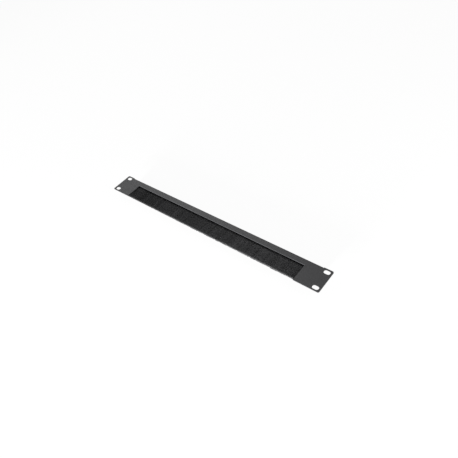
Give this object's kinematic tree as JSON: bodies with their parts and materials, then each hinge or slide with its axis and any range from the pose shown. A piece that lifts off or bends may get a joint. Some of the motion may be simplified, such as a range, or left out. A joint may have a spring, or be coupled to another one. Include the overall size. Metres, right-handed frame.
{
  "type": "rack brush strip panel",
  "caption": "Rack panel with slotted ears and an open-bottomed cable window curtained by a black strip brush hung behind it.",
  "frame": {"origin": "centre of the four rack slots, on the back face of the sheet that bears on the rack rails", "axes": "+X along the panel's width, +Y in the face towards the folded top flange, +Z out of the front face"},
  "size_m": [0.4826, 0.0436, 0.0135],
  "materials": {
    "powder_coat": "satin",
    "mill_aluminium": "satin",
    "galvanised_steel": "satin",
    "bristle_nylon": "matte",
    "rivet_aluminium": "satin",
    "mandrel_steel": "satin"
  },
  "bodies": {
    "root": {"front_panel": "powder_coat", "brush_holder": "mill_aluminium", "brush_channel": "galvanised_steel", "core_wire": "galvanised_steel", "bristles": "bristle_nylon", "rivet_1": "rivet_aluminium", "rivet_2": "rivet_aluminium", "rivet_3": "rivet_aluminium", "rivet_4": "rivet_aluminium", "rivet_5": "rivet_aluminium", "rivet_6": "rivet_aluminium", "rivet_7": "rivet_aluminium", "rivet_mandrel_1": "mandrel_steel", "rivet_mandrel_2": "mandrel_steel", "rivet_mandrel_3": "mandrel_steel", "rivet_mandrel_4": "mandrel_steel", "rivet_mandrel_5": "mandrel_steel", "rivet_mandrel_6": "mandrel_steel", "rivet_mandrel_7": "mandrel_steel"}
  },
  "joints": []
}
